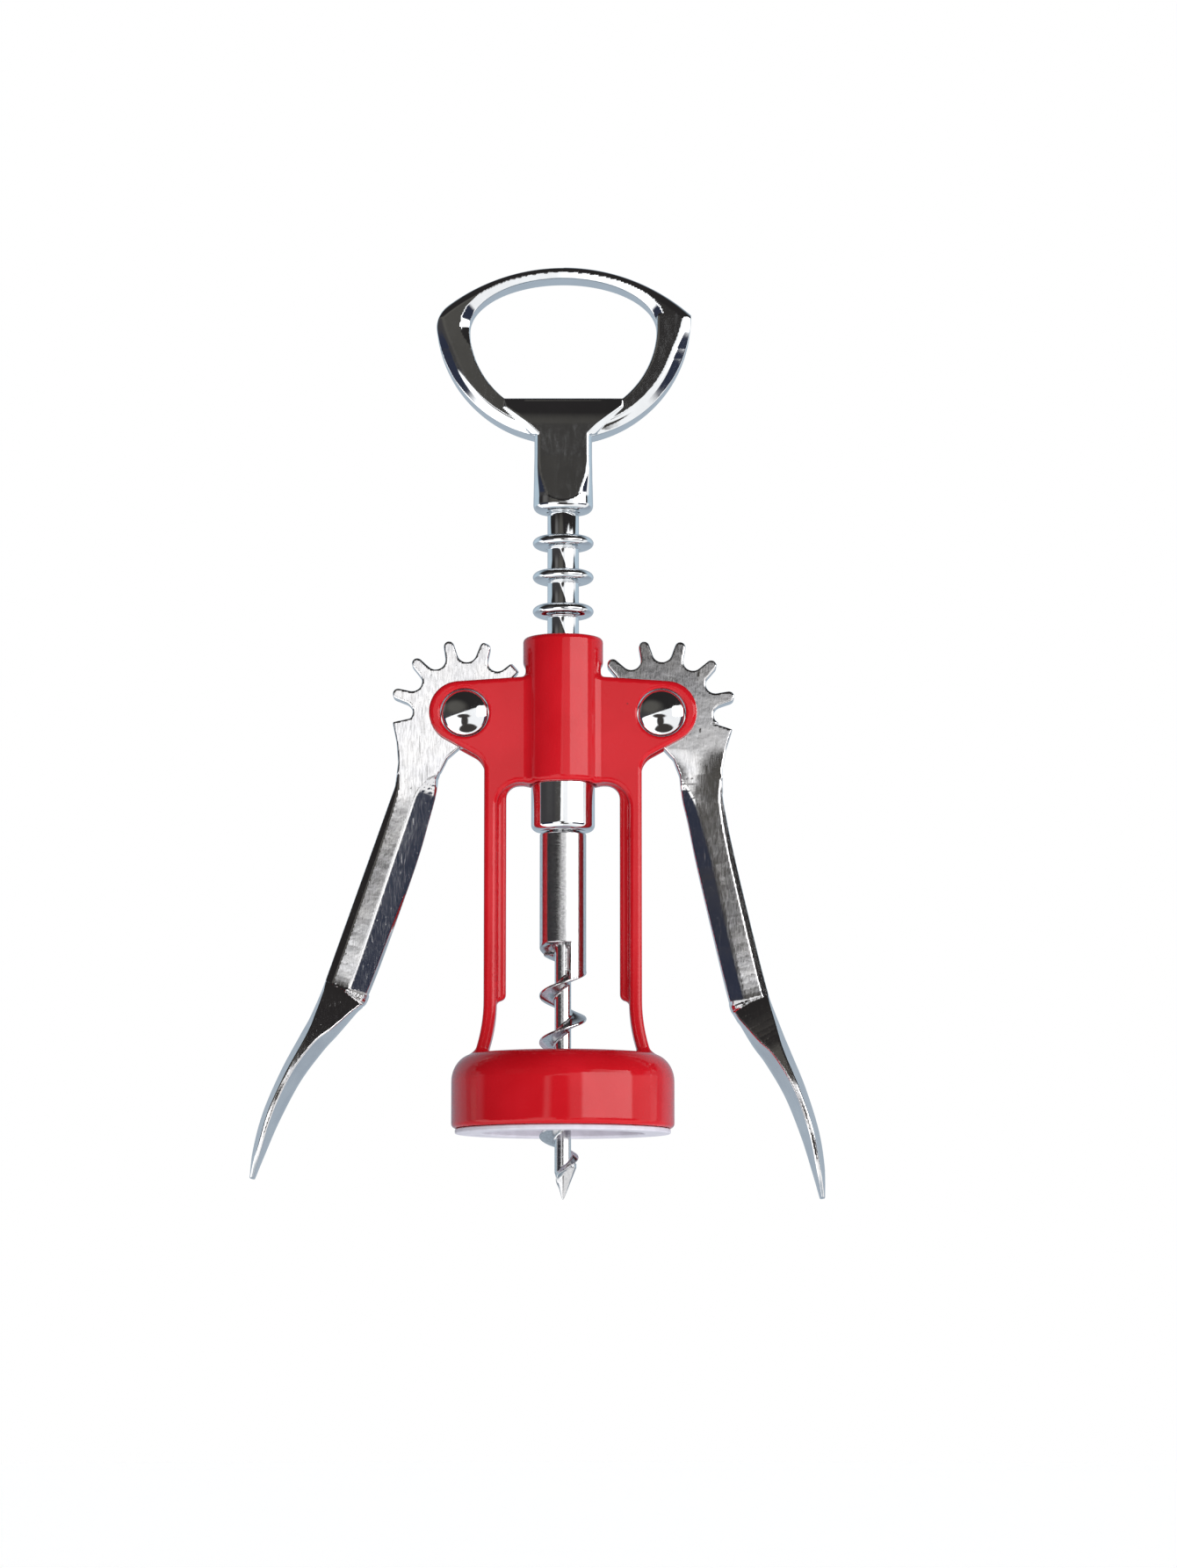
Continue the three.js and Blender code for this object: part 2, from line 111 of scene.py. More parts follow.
def arc(centre_u, centre_v, radius, start, end, steps):
    """Points along an arc, angles in degrees, both ends included."""
    angles = np.radians(np.linspace(start, end, steps + 1))
    return [(centre_u + radius * math.cos(a), centre_v + radius * math.sin(a)) for a in angles]


def mirrored(points):
    """An outline's other half, in the order that closes it."""
    return [(-u, v) for u, v in reversed(points)]


# Meshes.

SLAB_LAYERS = 24
CELL_CORNERS = [(i, j, k) for i in (0, 1) for j in (0, 1) for k in (0, 1)]


def sampled(field, axes):
    """The field's values on a grid, worked out a few layers at a time to save memory."""
    values = np.empty([len(a) for a in axes])
    for start in range(0, len(axes[0]), SLAB_LAYERS):
        layers = slice(start, start + SLAB_LAYERS)
        values[layers] = field(axes[0][layers, None, None], axes[1][None, :, None], axes[2][None, None, :])
    return values


def crossed_cells(inside):
    """The indices of the grid cells that have corners both inside and outside."""
    nx, ny, nz = (n - 1 for n in inside.shape)
    count = sum(inside[i:nx + i, j:ny + j, k:nz + k].astype(np.int8) for i, j, k in CELL_CORNERS)
    return np.argwhere((count > 0) & (count < len(CELL_CORNERS)))


def cell_points(values, cells):
    """One point in each cell: the mean of the places where the surface cuts the cell's edges."""
    total = np.zeros((len(cells), 3))
    hits = np.zeros(len(cells))
    for a in CELL_CORNERS:
        for axis in range(3):
            if a[axis]:
                continue
            b = tuple(1 if n == axis else c for n, c in enumerate(a))
            va = values[tuple((cells + a).T)]
            vb = values[tuple((cells + b).T)]
            crossed = (va < 0) != (vb < 0)
            share = np.where(crossed, va / np.where(crossed, va - vb, 1), 0)
            point = cells + a + share[:, None] * (np.arange(3) == axis)
            total += point * crossed[:, None]
            hits += crossed
    return total / hits[:, None]


def cell_faces(inside, cells):
    """A quad around each grid edge that the surface cuts, wound so that it faces outwards."""
    number = np.full([n - 1 for n in inside.shape], -1, np.int32)
    number[tuple(cells.T)] = np.arange(len(cells))
    faces = []
    for axis in range(3):
        one, two = [n for n in range(3) if n != axis]
        ahead = np.take(inside, range(1, inside.shape[axis]), axis)
        here = np.take(inside, range(inside.shape[axis] - 1), axis)
        edges = np.argwhere(ahead != here)
        edges = edges[(edges[:, one] > 0) & (edges[:, two] > 0)]
        ring = []
        for shift_one, shift_two in ((1, 1), (0, 1), (0, 0), (1, 0)):
            cell = edges.copy()
            cell[:, one] -= shift_one
            cell[:, two] -= shift_two
            ring.append(number[tuple(cell.T)])
        quads = np.stack(ring, 1)
        outward = here[tuple(edges.T)]
        if axis == 1:
            outward = ~outward
        quads[~outward] = quads[~outward][:, ::-1]
        faces.append(quads)
    return np.concatenate(faces)


def grid_surface(field, low, high, step):
    """Quads over a field's zero surface, one vertex in each grid cell that the surface passes through."""
    axes = [np.arange(a - 2 * step, b + 3 * step, step) for a, b in zip(low, high)]
    values = sampled(field, axes)
    inside = values < 0
    cells = crossed_cells(inside)
    points = cell_points(values, cells) * step + [a[0] for a in axes]
    return points, cell_faces(inside, cells)


def slope_of(field, points):
    """The field's value and gradient at points, by differences over a small tetrahedron."""
    reach = 0.01
    x, y, z = points.T
    value, gradient = 0, 0
    for corner in ((1, 1, 1), (1, -1, -1), (-1, 1, -1), (-1, -1, 1)):
        a, b, c = (reach * n for n in corner)
        sample = field(x + a, y + b, z + c)
        value = value + sample / 4
        gradient = gradient + sample[:, None] * np.array(corner) / (4 * reach)
    return value, gradient


def settle(field, points, step):
    """Moves points onto the field's surface."""
    value, gradient = slope_of(field, points)
    size = np.maximum((gradient ** 2).sum(1), 0.05)
    move = -(value / size)[:, None] * gradient
    length = np.linalg.norm(move, axis=1)
    return points + move * np.minimum(1, 0.5 * step / np.maximum(length, 1e-9))[:, None]


def relaxed(points, faces):
    """Each point moved halfway to the mean of its neighbours."""
    total = np.zeros_like(points)
    count = np.zeros(len(points))
    for a in range(4):
        for b in ((a + 1) % 4, (a + 3) % 4):
            np.add.at(total, faces[:, a], points[faces[:, b]])
            np.add.at(count, faces[:, a], 1)
    return points + 0.5 * (total / np.maximum(count, 1)[:, None] - points)


def mesh_object(name, points, faces, normals=None):
    """A mesh object in metres from points in millimetres."""
    mesh = bpy.data.meshes.new(name)
    mesh.from_pydata((np.asarray(points) * MM).tolist(), [], [[int(n) for n in face] for face in faces])
    mesh.update()
    mesh.shade_smooth()
    if normals is not None:
        mesh.normals_split_custom_set_from_vertices(normals.tolist())
    obj = bpy.data.objects.new(name, mesh)
    bpy.context.scene.collection.objects.link(obj)
    return obj


def solid(name, field, low, high, step):
    """A closed mesh of the region where the field is negative."""
    points, faces = grid_surface(field, low, high, step)
    for _ in range(2):
        points = settle(field, points, step)
        points = relaxed(points, faces)
    for _ in range(2):
        points = settle(field, points, step)
    _, gradient = slope_of(field, points)
    normals = gradient / np.maximum(np.linalg.norm(gradient, axis=1), 1e-9)[:, None]
    return mesh_object(name, points, faces, normals)


def softened(profile, radii, steps=5):
    """A closed profile with each corner rounded by an arc, and a support point on both sides of it."""
    rounded = []
    count = len(profile)
    for n, (here, radius) in enumerate(zip(profile, radii)):
        here = Vector(here)
        before = Vector(profile[n - 1]) - here
        after = Vector(profile[(n + 1) % count]) - here
        if radius <= 0:
            rounded.append(tuple(here))
            continue
        half_turn = before.angle(after) / 2
        reach = min(radius / math.tan(half_turn), 0.45 * before.length, 0.45 * after.length)
        radius = reach * math.tan(half_turn)
        start = here + before.normalized() * reach
        end = here + after.normalized() * reach
        middle = (before.normalized() + after.normalized()).normalized()
        centre = here + middle * (radius / math.sin(half_turn))
        first, last = start - centre, end - centre
        turn = first.angle_signed(last)
        support = min(0.12, 0.1 * reach + 0.02)
        rounded.append(tuple(start + before.normalized() * support))
        for i in range(steps + 1):
            spoke = first.copy()
            spoke.rotate(Matrix.Rotation(-turn * i / steps, 2))
            rounded.append(tuple(centre + spoke))
        rounded.append(tuple(end + after.normalized() * support))
    return rounded


def lathe(name, profile, axis="z", at=(0, 0, 0), segments=144):
    """A solid of revolution from a closed profile of (radius, height). Points on the axis close it."""
    points, faces, rings = [], [], []
    for radius, height in profile:
        if radius < 1e-6:
            rings.append([len(points)] * segments)
            points.append((0, 0, height))
            continue
        rings.append(list(range(len(points), len(points) + segments)))
        for i in range(segments):
            angle = 2 * math.pi * i / segments
            points.append((radius * math.cos(angle), radius * math.sin(angle), height))
    for n, ring in enumerate(rings):
        following = rings[(n + 1) % len(rings)]
        if ring[0] == ring[1] and following[0] == following[1]:
            continue
        for i in range(segments):
            j = (i + 1) % segments
            corners = [ring[i], ring[j], following[j], following[i]]
            faces.append([c for k, c in enumerate(corners) if c != corners[k - 1]])
    points = np.array(points)
    if axis == "y":
        points = points[:, [0, 2, 1]] * (1, 1, -1)
    if axis == "x":
        points = points[:, [2, 1, 0]] * (1, 1, -1)
    return mesh_object(name, points + at, faces)


# The enamelled frame.

EDGE = 0.85


def body_outline():
    """The frame's flat body seen from the front: shoulders, ears, waists, legs and the arch between them."""
    low = math.radians(EAR_LOW_ANGLE)
    ear_low = (EAR_X + EAR_RADIUS * math.cos(low), EAR_Z + EAR_RADIUS * math.sin(low))
    waist = 14.9
    corner = ear_low[1] + math.tan(low + math.pi / 2) * (waist - ear_low[0])
    fillet = 3.6
    drop = fillet * math.tan(-low / 2)
    flare_height = LEG_FLARE_TOP - BELL_TOP
    flare_turn = 2 * math.atan2(LEG_FLARE, flare_height)
    flare_radius = flare_height / math.sin(flare_turn)

    def flare(u):
        return arc(u + flare_radius, LEG_FLARE_TOP, flare_radius, 180, 180 + math.degrees(flare_turn), 8)

    arch = 4.5
    side = [
        (0, EAR_SHOULDER),
        *arc(EAR_X, EAR_Z, EAR_RADIUS, EAR_TOP_ANGLE, EAR_LOW_ANGLE, 36),
        *arc(waist + fillet, corner - drop, fillet, 180 + EAR_LOW_ANGLE, 180, 12),
        *flare(LEG_OUTER),
        (LEG_OUTER + LEG_FLARE, LEG_FOOT),
        (LEG_INNER + LEG_FLARE, LEG_FOOT),
        *reversed(flare(LEG_INNER)),
        *arc(LEG_INNER - arch, TUBE_BOTTOM - arch, arch, 0, 90, 12),
        (0, TUBE_BOTTOM),
    ]
    return side + mirrored(side)[1:-1]


def rib_outline():
    """The stiffening ribs inside the legs, down to their rounded feet."""
    deep, foot, arch = 13.7, 1.2, 2.8
    side = [
        (0, TUBE_BOTTOM + 1),
        (deep, TUBE_BOTTOM + 1),
        (deep, RIB_BOTTOM),
        *arc(RIB_INNER + foot, RIB_BOTTOM + foot, foot, 270, 180, 6),
        *arc(RIB_INNER - arch, TUBE_BOTTOM - arch, arch, 0, 90, 8),
        (0, TUBE_BOTTOM),
    ]
    return side + mirrored(side)


def bell_outline():
    """The bell's wall and roof as (radius, height), with a broad shoulder and a rolled lower rim."""
    shoulder_wide, shoulder_high, rim = 4.4, 5.2, 0.95
    corner = arc(0, 0, 1, 0, 90, 14)
    shoulder = [
        (BELL_RADIUS - shoulder_wide + shoulder_wide * u, BELL_TOP - shoulder_high + shoulder_high * v)
        for u, v in corner
    ]
    return [
        (BELL_INNER, BELL_BOTTOM + 0.1),
        *arc(BELL_RADIUS - rim, BELL_BOTTOM + rim, rim, 270, 360, 8),
        *shoulder,
        *arc(BELL_HOLE + 0.7, BELL_TOP - 0.7, 0.7, 90, 180, 5),
        (BELL_HOLE, BELL_CEILING),
        (BELL_INNER, BELL_CEILING),
    ]


def frame_field():
    """The casting: plate, ribs, tube and bell joined by fillets, then bored, slotted and drilled."""
    body, rib, bell = polygon(body_outline()), polygon(rib_outline()), polygon(bell_outline())
    tube_middle, tube_half = (TUBE_TOP + TUBE_BOTTOM) / 2, (TUBE_TOP - TUBE_BOTTOM) / 2

    def field(x, y, z):
        depth = np.abs(y)
        around = np.hypot(x, y)
        plate = rounded_overlap(body(x, z), depth - BODY_HALF, EDGE)
        ribs = rounded_overlap(rib(x, z), depth - RIB_HALF, 0.6)
        casting = rounded_union(plate, ribs, 0.9)
        tube = rounded_overlap(around - TUBE_RADIUS, np.abs(z - tube_middle) - tube_half, 0.9)
        casting = rounded_union(casting, tube, 0.9)
        casting = rounded_union(casting, bell(around, z), 1.1)
        bore = np.maximum(around - TUBE_BORE, TUBE_BOTTOM - 6 - z)
        casting = rounded_cut(casting, bore, 0.35)
        from_pivot = np.hypot(np.abs(x) - PIVOT_X, z - PIVOT_Z)
        slot = np.maximum(from_pivot - SLOT_RADIUS, depth - SLOT_HALF)
        casting = rounded_cut(casting, slot, 0.3)
        return rounded_cut(casting, from_pivot - PIN_HOLE, 0.45)

    return field


# The geared arms, drawn for the left-hand arm about its pivot.

# side: where the arm is; phase: angle of its second tooth; lean_in: how far it leans towards the screw;
# width: its bar's width, as a share; shift: how far its front strip's inner line moves inwards;
# late: how much further that line moves where the bevel starts; chamfer: one for a narrow inner chamfer;
# draft: how fast its faces close in, going down from the gear's top over the height drafted;
# twist: its front strip's slope across the bar; reach: how far out along X it goes. Angles are in degrees,
# lengths in millimetres, and shift and late in half widths.
ARMS = {
    "left": {
        "side": -1, "phase": 13.2, "lean_in": 0, "width": 1, "shift": 0.08, "late": 0.05, "chamfer": 1,
        "draft": 0.009, "drafted": 70, "twist": -0.01, "reach": 58.8,
    },
    "right": {
        "side": 1, "phase": 15.8, "lean_in": 6.1, "width": 0.83, "shift": 0.22, "late": 0.4, "chamfer": 0,
        "draft": -0.018, "drafted": 36, "twist": 0.11, "reach": 49.2,
    },
}


def station(at, half, slim, deep, strip, rim=0, edge=0):
    """A cross-section of the arm. at: centre (x, z); half: half width; slim: how much of the arm's own width
    and shift apply there; deep: half depth along Y at the front strip; strip: where the front strip lies
    between the outer edge (-1) and the inner edge (1); rim, edge: half depth at the outer and at the inner
    edge, which on the bar follow from the bevels' slopes instead."""
    return {"at": at, "half": half, "slim": slim, "deep": deep, "strip": strip, "rim": rim, "edge": edge}


BAR_STATIONS = [
    station((-8.75, -11), 3.8, 0, 1.95, (-0.98, 0.86)),
    station((-9.25, -14.4), 3.95, 0.2, 1.97, (-0.86, 0.1)),
    station((-10.65, -19), 4.15, 0.7, 2.05, (-0.74, -0.02)),
    station((-13.35, -27.5), 4.4, 1, 2.31, (-0.7, -0.05)),
    station((-19.35, -44.7), 4.4, 1, 2.99, (-0.66, 0.03)),
]
CREASE_STATIONS = [
    station((-22.1, -52.2), 4.25, 0.8, 3.32, (-0.66, 0.08), 2.3, 1.4),
    station((-22.4, -52.9), 4.2, 0.7, 3.7, (-0.97, 0.97), 3, 1.3),
]
BLADE_STATIONS = [
    station((-26, -58.6), 3.15, 0, 5.6, (-0.68, 0.68), 1.6, 1.6),
    station((-28.6, -62.3), 2.65, 0, 6.7, (-0.42, 0.34), 0.9, 0.9),
    station((-32.5, -68.5), 2.15, 0, 7.4, (-0.28, 0.22), 0.6, 0.6),
    station((-36.1, -76.1), 1.8, 0, 7.2, (-0.24, 0.3), 0.6, 0.6),
    station((-38.4, -82.9), 1.25, 0, 5.4, (-0.15, 0.5), 0.6, 0.6),
    station((-39.65, -87.9), 0.55, 0, 2.4, (-0.5, 0.5), 0.5, 0.5),
]
ARM_STATIONS = BAR_STATIONS + CREASE_STATIONS + BLADE_STATIONS
CREASE = len(BAR_STATIONS)


def station_values(key):
    return [n[key] for n in ARM_STATIONS]


# The bar's bevels: depth lost per width on the outer and on the inner side, and the thinnest inner edge.
OUTER_SLOPE, INNER_SLOPE, THINNEST_EDGE = 0.8, 0.42, 0.15

# The radii of the gear's hub and of its bore, and the length of the blade's last span.
HUB_RADIUS, ARM_BORE, TIP_SPAN = 6.4, 4.7, 5.1


def polar(radius, angle):
    """The point at a radius and an angle in degrees."""
    return radius * math.cos(math.radians(angle)), radius * math.sin(math.radians(angle))


def sector_outline(first):
    """The toothed sector: round tips and valleys joined by their common tangents."""
    step = 360 / TEETH_PER_TURN
    tip_round, valley_round = 1.02, 1.85
    tip_centre, valley_centre = GEAR_TIP - tip_round, GEAR_ROOT + valley_round
    across, up = polar(valley_centre, step / 2)
    gap = math.hypot(across - tip_centre, up)
    flank = math.atan2(up, across - tip_centre) + math.asin((tip_round + valley_round) / gap)
    tip_turn = math.degrees(flank) - 90
    valley_turn = tip_turn - step / 2
    points = [(0, 0), polar(GEAR_ROOT - 1, first - step)]
    for n in range(TEETH):
        angle = first + n * step
        points += arc(*polar(tip_centre, angle), tip_round, angle - tip_turn, angle + tip_turn, 10)
        valley = polar(valley_centre, angle + step / 2)
        start = angle + step / 2 + 180 + valley_turn
        points += arc(*valley, valley_round, start, start - 2 * valley_turn, 12)
    points.append(polar(GEAR_ROOT - 1, first + step * TEETH))
    return points


WEB_OUTLINE = [
    (-10.5, -0.85), (-13.7, -1.6), (-12.9, -5.5), (-12.6, -9.3), (-13.2, -14),
    (-5.2, -14), (-4.7, -11.4), (-3.2, -8.4), (-0.9, -6.4), (0, 0),
]


def smooth_path(points, per_span):
    """A Catmull-Rom curve through points, with the parameter of each sample counted in points."""
    points = np.array(points, float)
    padded = np.vstack([2 * points[0] - points[1], points, 2 * points[-1] - points[-2]])
    samples, at = [], []
    for n in range(len(points) - 1):
        a, b, c, d = padded[n:n + 4]
        for k in range(per_span):
            t = k / per_span
            square, cube = 2 * a - 5 * b + 4 * c - d, 3 * b - a - 3 * c + d
            samples.append(0.5 * (2 * b + (c - a) * t + square * t ** 2 + cube * t ** 3))
            at.append(n + t)
    return np.array(samples + [points[-1]]), np.array(at + [len(points) - 1.0])


def along_path(path, at, u, v):
    """Where the nearest point of the path is, as its parameter, and the distance to its left. The first and
    the last span run on past the path's ends."""
    run_on = 9
    shape = np.broadcast(u, v).shape
    best = np.full(shape, np.inf)
    place, left = np.zeros(shape), np.zeros(shape)
    last = len(path) - 2
    for n in range(len(path) - 1):
        (au, av), (bu, bv) = path[n], path[n + 1]
        eu, ev = bu - au, bv - av
        size = math.hypot(eu, ev)
        share = ((u - au) * eu + (v - av) * ev) / size ** 2
        share = np.clip(share, -run_on if n == 0 else 0, run_on if n == last else 1)
        du, dv = u - au - share * eu, v - av - share * ev
        distance = du * du + dv * dv
        side = (eu * (v - av) - ev * (u - au)) / size
        nearer = distance < best
        best = np.where(nearer, distance, best)
        place = np.where(nearer, at[n] + share * (at[n + 1] - at[n]), place)
        left = np.where(nearer, np.sign(side) * np.sqrt(distance), left)
    return place, left


def bevel_plane(across, depth, start, end):
    """Distance in front of the sloping face through two points (across, depth) of a cross-section."""
    du, dv = end[0] - start[0], end[1] - start[1]
    size = np.hypot(du, dv)
    return (dv * (across - start[0]) - du * (depth - start[1])) / size


def eased(t):
    """Nought to one with a level start and end."""
    t = np.clip(t, 0, 1)
    return t * t * (3 - 2 * t)


def along(place, values, crease=CREASE):
    """A station's value at a place on the arm, eased between stations but sharp where the arm is creased."""
    values = np.array(values, float)
    tangent = np.gradient(values)
    before, after = tangent.copy(), tangent.copy()
    before[crease] = values[crease] - values[crease - 1]
    before[crease + 1] = after[crease] = values[crease + 1] - values[crease]
    after[crease + 1] = values[crease + 2] - values[crease + 1]
    n = np.clip(np.floor(place).astype(int), 0, len(values) - 2)
    t = np.clip(place - n, 0, 1)
    near = (1 + 2 * t) * (1 - t) ** 2 * values[n] + t * (1 - t) ** 2 * after[n]
    far = t ** 2 * (3 - 2 * t) * values[n + 1] - t ** 2 * (1 - t) * before[n + 1]
    return near + far


def turned_in(x, z, degrees):
    """Coordinates in a frame that leans in towards the screw by an angle about the pivot."""
    c, s = math.cos(math.radians(degrees)), math.sin(math.radians(degrees))
    return x * c + z * s, z * c - x * s


def lever_field(arm):
    """One arm: a toothed sector and web of even thickness that grow into a bar with a front strip and two
    bevels, a crease, and a thumb blade with a front ridge."""
    step = 360 / TEETH_PER_TURN
    sector, web = polygon(sector_outline(arm["phase"] - step)), polygon(WEB_OUTLINE)
    path, at = smooth_path(station_values("at"), 6)
    last = len(ARM_STATIONS) - 1
    halves = [n["half"] * (1 - (1 - arm["width"]) * n["slim"]) for n in ARM_STATIONS]
    outer_lines, inner_lines = zip(*station_values("strip"))

    def field(x, y, z):
        depth = np.abs(y)
        u = -(arm["side"] * x - PIVOT_X)
        v = z - PIVOT_Z
        lean_u, lean_v = turned_in(u, v, arm["lean_in"])
        place, across = along_path(path, at, lean_u, lean_v)
        on_bar = np.clip(CREASE + 1 - place, 0, 1)

        # The outline in front view.
        half = along(place, halves)
        ends = np.maximum((place - last) * TIP_SPAN, -place * 3)
        bar = np.maximum(np.abs(across) - half, ends)
        gear = np.minimum(sector(u, v), np.hypot(u, v) - HUB_RADIUS)
        outline = np.minimum(np.minimum(gear, web(lean_u, lean_v)), bar)

        # The front strip: its depth and slopes, and the two lines that bound it.
        above = v - GEAR_TIP + arm["drafted"]
        taper = arm["draft"] * (arm["drafted"] - (above + np.hypot(above, 5)) / 2) * on_bar
        twist = arm["twist"] * eased((place + 1.6) / 3.6) * on_bar
        deep = along(place, station_values("deep")) - taper
        outer_line = along(place, outer_lines) * half
        inner_line = along(place, inner_lines) + arm["shift"] * along(place, station_values("slim"))
        inner_line = np.minimum(inner_line + arm["late"] * np.clip((3 - place) / 2, 0, 1), 0.98) * half
        outer_deep, inner_deep = deep - twist * outer_line, deep - twist * inner_line

        # The depth left at both edges.
        rim, edge = (along(place, station_values(key)) for key in ("rim", "edge"))
        bar_rim = outer_deep - OUTER_SLOPE * (half + outer_line)
        bar_edge = np.maximum(inner_deep - INNER_SLOPE * (half - inner_line), THINNEST_EDGE)
        rim = rim + on_bar * (bar_rim - rim)
        edge = edge + on_bar * (bar_edge - edge)

        # The faces: the strip, the two bevels, and the chamfer along the inner edge.
        body = rounded_overlap(outline, depth - deep + twist * across, 0.3)
        unbevelled = 1.2 * np.clip(0.3 - place, 0, 9) + 12 * np.clip(-0.1 - place, 0, 9)
        round_over = 0.1 + 0.15 * np.clip(place - CREASE - 1, 0, 1)
        inner = bevel_plane(across, depth, (half, edge), (inner_line, inner_deep))
        outer = bevel_plane(-across, depth, (half, rim), (-outer_line, outer_deep))
        body = rounded_overlap(body, inner - unbevelled, round_over)
        body = rounded_overlap(body, outer - unbevelled, round_over)
        turn_over = 0.89 * half
        turn_depth = edge + (inner_deep - edge) * (half - turn_over) / np.maximum(half - inner_line, 0.1)
        chamfer = bevel_plane(across, depth, (half, 0.12), (turn_over, turn_depth))
        kept = 9 * (1 - arm["chamfer"] * on_bar) + unbevelled
        body = rounded_overlap(body, chamfer - kept, 0.08)

        body = np.maximum(body, arm["side"] * x - arm["reach"])
        return np.maximum(body, ARM_BORE - np.hypot(u, v))

    return field


# The opener handle.

BOW_CENTRE, BOW_RADIUS, BOW_TOP, BOW_HALF = 146.6, 24.5, 155.9, 3.5
LOOP_CENTRE, LOOP_RADIUS, LOOP_TOP, LOOP_LIP = 144, 17.9, 153.5, 130.1
NECK_BOTTOM, NECK_TOP, NECK_DEPTH, NECK_FRONT = 108.3, 124, 4.65, 4.05
SOCKET_RADIUS, SOCKET_TOP, CROSS_HOLE = 3.15, 120.4, 1.25
LIP_OUTLINE = [
    (-11.5, LOOP_LIP), (11.5, LOOP_LIP), (11.5, 128.2), (5.4, 122.2), (5.4, 118),
    (-5.4, 118), (-5.4, 122.2), (-11.5, 128.2),
]


def bevelled(edge, ridge, depth, half, tilt):
    """A slab's edge with a flat bevel, tilted by an angle, that is at full depth where ridge is nought."""
    c, s = math.cos(math.radians(tilt)), math.sin(math.radians(tilt))
    return rounded_overlap(edge, (depth - half) * c - ridge * s, 0.22)


def bowl(x, z, centre, radius):
    """Distance outside a disc that is drawn out upwards without end."""
    return np.hypot(x, np.minimum(z - centre, 0)) - radius


def oval(x, z, centre, wide, tall, low):
    """Distance outside an outline with one half height above its centre and another below."""
    up = z - centre
    tall = np.where(up > 0, tall, low)
    ratio = np.hypot(x / wide, up / tall)
    slope = np.hypot(x / wide ** 2, up / tall ** 2)
    return ratio * (ratio - 1) / np.maximum(slope, 1e-3)


def bow_slab(x, depth):
    """The bow's two faces, which come a little closer together towards its sides."""
    return depth - BOW_HALF + 0.0006 * x ** 2


def bow_outside(x, z, depth):
    """The bow before its opening is cut: bevelled along its sides and below, round along its crown and at its
    left corner."""
    rise = BOW_TOP - BOW_CENTRE
    crown_radius = (BOW_RADIUS ** 2 + rise ** 2) / (2 * rise)
    slab = bow_slab(x, depth)
    outer = bowl(x, z, BOW_CENTRE, BOW_RADIUS)
    crown = np.hypot(x, z - BOW_TOP + crown_radius) - crown_radius
    wide = 1.1 + 1.1 * np.clip((z - 124) / 14, 0, 1) - 0.9 * np.clip((z - 140) / 7, 0, 1)
    outside = bevelled(outer, -(outer + wide), depth, BOW_HALF - 0.2, 23)
    outside = rounded_overlap(outside, slab, 0.2)
    outside = np.maximum(outside, rounded_overlap(crown, slab, 1.7))
    corner = np.where(x < 0, rounded_overlap(outer, crown, 2.6), -1)
    return rounded_overlap(outside, corner, 0.3)


def bow_band(x, z, depth):
    """What is left around the opening: bevelled inwards, but plain below a step on the right."""
    opening = oval(x, z, LOOP_CENTRE, LOOP_RADIUS, LOOP_TOP - LOOP_CENTRE, LOOP_RADIUS)
    ridge = oval(x, z, 144.5, 19.9, 10.2, np.where(x > 0, 19.9, 9))
    crown_band = bevelled(-opening, ridge, depth, BOW_HALF - 0.1, 26)
    step_line = np.where(x > 0, ((z - 145.9) - 0.62 * (x - 17.5)) * 0.86, 9)
    side_band = rounded_overlap(-bowl(x, z, LOOP_CENTRE, LOOP_RADIUS), bow_slab(x, depth), 0.5)
    side_band = rounded_overlap(side_band, step_line, 0.2)
    return np.maximum(np.minimum(crown_band, side_band), -np.maximum(opening, LOOP_LIP - z))


def cap_lip(plate, x, z, depth):
    """The plate that bounds the opening below, with its front leaning back above the neck."""
    lip = rounded_overlap(plate(x, z) + 0.5, depth - NECK_FRONT + 0.5, 0.9) - 0.5
    return rounded_overlap(lip, (depth - NECK_FRONT) * 0.98 + (z - 126.2) * 0.16, 0.2)


def neck_boss(x, z, depth):
    """The neck: squarish above, rounder at its foot, and cut flat in front in the shape of a tongue."""
    power = 2.5 + 2.3 * eased((z - 111) / 7)
    half_width = 5.5 + 0.2 * np.clip((119 - z) / 9, 0, 1)
    ratio = ((np.abs(x) / half_width) ** power + (depth / NECK_DEPTH) ** power) ** (1 / power)
    boss = rounded_overlap((ratio - 1) * NECK_DEPTH, NECK_BOTTOM - z, 1.5)
    boss = np.maximum(boss, z - NECK_TOP)
    tongue = bowl(x, z, 115.2, 4.9)
    front = NECK_FRONT + 0.012 * np.clip(119 - z, 0, 9)
    return rounded_overlap(boss, -np.maximum(tongue, front - depth), 0.12)


def opener_field():
    """The opener: a flat bow around an opening, a lip plate, and a neck with a socket for the stem."""
    plate = polygon(LIP_OUTLINE)

    def field(x, y, z):
        depth = np.abs(y)
        outside = bow_outside(x, z, depth)
        bow = np.maximum(outside, bow_band(x, z, depth))
        bow = np.minimum(bow, rounded_overlap(outside, z - LOOP_LIP, 0.3))
        lip = np.maximum(cap_lip(plate, x, z, depth), bowl(x, z, BOW_CENTRE, BOW_RADIUS) + 0.3)
        whole = np.minimum(np.minimum(bow, lip), neck_boss(x, z, depth))
        socket = np.maximum(np.hypot(x, y) - SOCKET_RADIUS, z - SOCKET_TOP)
        whole = rounded_cut(whole, socket, 0.3)
        return rounded_cut(whole, np.hypot(y, z - HANDLE_PIN_Z) - CROSS_HOLE, 0.2)

    return field


# The worm: a shank with a journal and a tang above it, and a bladed screw below it.

